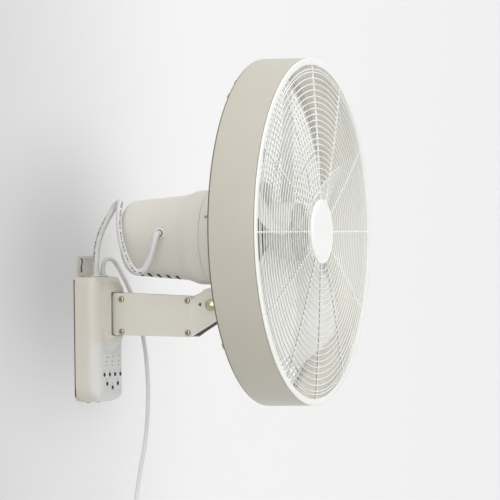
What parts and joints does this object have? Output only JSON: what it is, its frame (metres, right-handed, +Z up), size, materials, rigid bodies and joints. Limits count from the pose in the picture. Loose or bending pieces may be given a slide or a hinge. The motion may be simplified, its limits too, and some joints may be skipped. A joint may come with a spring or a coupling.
{
  "type": "wall fan",
  "caption": "Wall mounted drum fan: control case with push buttons, swinging and tilting arm, motor, bladed rotor and wire guards.",
  "frame": {"origin": "on the wall face, midway between the round parts of the two keyholes", "axes": "+Z up, the wall is the plane Y = 0 and the fan blows towards -Y"},
  "size_m": [0.45, 0.33, 0.7298],
  "materials": {
    "paint_case": "satin",
    "paint_motor": "satin",
    "paint_drum": "satin",
    "paint_arm": "satin",
    "channel_grey": "satin",
    "plate_paint": "satin",
    "guard_white": "gloss",
    "rotor_white": "gloss",
    "badge_white": "gloss",
    "panel_film": "matt",
    "button_plastic": "matt",
    "lamp_lens": "gloss",
    "board_green": "matt",
    "dark_plastic": "matt",
    "grommet_white": "matt",
    "cable_pvc": "matt",
    "cord_pvc": "matt",
    "zinc": "brushed",
    "shaft_steel": "brushed",
    "lamination": "brushed",
    "copper": "satin",
    "acetal": "matt",
    "capacitor_shell": "satin",
    "pin_brass": "satin"
  },
  "bodies": {
    "base": {"wall_plate": "plate_paint", "control_case": "paint_case", "control_panel": "panel_film", "circuit_board": "board_green", "tact_switches": "dark_plastic", "lamps": "lamp_lens", "run_capacitor": "capacitor_shell", "terminal_block": "acetal", "outlet_plate": "panel_film", "motor_cable_gland": "cable_pvc", "power_strain_relief": "cord_pvc", "case_screws": "zinc", "pivot_bushes": "acetal", "swing_motor": "capacitor_shell", "motor_cable_lower": "cable_pvc", "power_cord": "cord_pvc", "power_cord_coil": "cord_pvc", "cord_tie": "dark_plastic", "power_plug": "cord_pvc", "plug_pins": "pin_brass"},
    "arm": {"pivot_shaft": "shaft_steel", "swing_sector": "acetal", "swing_hub": "paint_arm", "arm_channel": "channel_grey", "arm_cover_left": "paint_arm", "arm_cover_right": "paint_arm", "arm_screws": "zinc", "tilt_bolt": "zinc", "tilt_nut": "zinc", "motor_cable_upper": "cable_pvc"},
    "head": {"tilt_bracket": "paint_arm", "friction_washers": "dark_plastic", "bracket_screws": "zinc", "motor_housing": "paint_motor", "motor_collar": "paint_motor", "collar_screws": "zinc", "cable_grommet": "grommet_white", "motor_frame": "capacitor_shell", "motor_end_plate": "capacitor_shell", "shaft_bearings": "shaft_steel", "stator_core": "lamination", "stator_windings": "copper", "drum_band": "paint_drum", "front_rim": "guard_white", "front_guard": "guard_white", "guard_badge": "badge_white", "rear_guard": "guard_white", "rim_clips": "zinc"},
    "rotor": {"fan_rotor": "rotor_white", "motor_shaft": "shaft_steel", "rotor_core": "lamination", "rotor_nut": "dark_plastic"},
    "pinion": {"swing_pinion": "acetal"},
    "button_power": {"button_power": "button_plastic"},
    "button_speed": {"button_speed": "button_plastic"},
    "button_mode": {"button_mode": "button_plastic"},
    "button_timer": {"button_timer": "button_plastic"},
    "button_swing": {"button_swing": "button_plastic"},
    "button_rhythm": {"button_rhythm": "button_plastic"},
    "button_light": {"button_light": "button_plastic"}
  },
  "joints": [
    {"name": "swing", "type": "hinge", "parent": "base", "child": "arm", "pos_m": [0, -0.034, -0.067], "axis": [0, 0, 1], "range_deg": [-22, 22], "deforming": ["motor_cable_lower"]},
    {"name": "pinion_turn", "type": "hinge", "parent": "base", "child": "pinion", "pos_m": [0, -0.012, -0.103], "axis": [0, 0, 1], "range_deg": [-60, 60]},
    {"name": "tilt", "type": "hinge", "parent": "arm", "child": "head", "pos_m": [0, -0.1787, -0.0573], "axis": [1, 0, 0], "range_deg": [-10, 25], "deforming": ["motor_cable_upper"]},
    {"name": "fan_turn", "type": "hinge", "parent": "head", "child": "rotor", "pos_m": [0, -0.18, 0.036], "axis": [0, 1, 0], "continuous": true},
    {"name": "press_power", "type": "slide", "parent": "base", "child": "button_power", "axis": [0, 1, 0], "range_m": [0, 0.0008], "stiffness_N_per_m": 600, "springref_m": -0.0008},
    {"name": "press_speed", "type": "slide", "parent": "base", "child": "button_speed", "axis": [0, 1, 0], "range_m": [0, 0.0008], "stiffness_N_per_m": 600, "springref_m": -0.0008},
    {"name": "press_mode", "type": "slide", "parent": "base", "child": "button_mode", "axis": [0, 1, 0], "range_m": [0, 0.0008], "stiffness_N_per_m": 600, "springref_m": -0.0008},
    {"name": "press_timer", "type": "slide", "parent": "base", "child": "button_timer", "axis": [0, 1, 0], "range_m": [0, 0.0008], "stiffness_N_per_m": 600, "springref_m": -0.0008},
    {"name": "press_swing", "type": "slide", "parent": "base", "child": "button_swing", "axis": [0, 1, 0], "range_m": [0, 0.0008], "stiffness_N_per_m": 600, "springref_m": -0.0008},
    {"name": "press_rhythm", "type": "slide", "parent": "base", "child": "button_rhythm", "axis": [0, 1, 0], "range_m": [0, 0.0008], "stiffness_N_per_m": 600, "springref_m": -0.0008},
    {"name": "press_light", "type": "slide", "parent": "base", "child": "button_light", "axis": [0, 1, 0], "range_m": [0, 0.0008], "stiffness_N_per_m": 600, "springref_m": -0.0008}
  ],
  "couplings": [
    {"joint": "pinion_turn", "follows": "swing", "ratio": -2.6667}
  ]
}
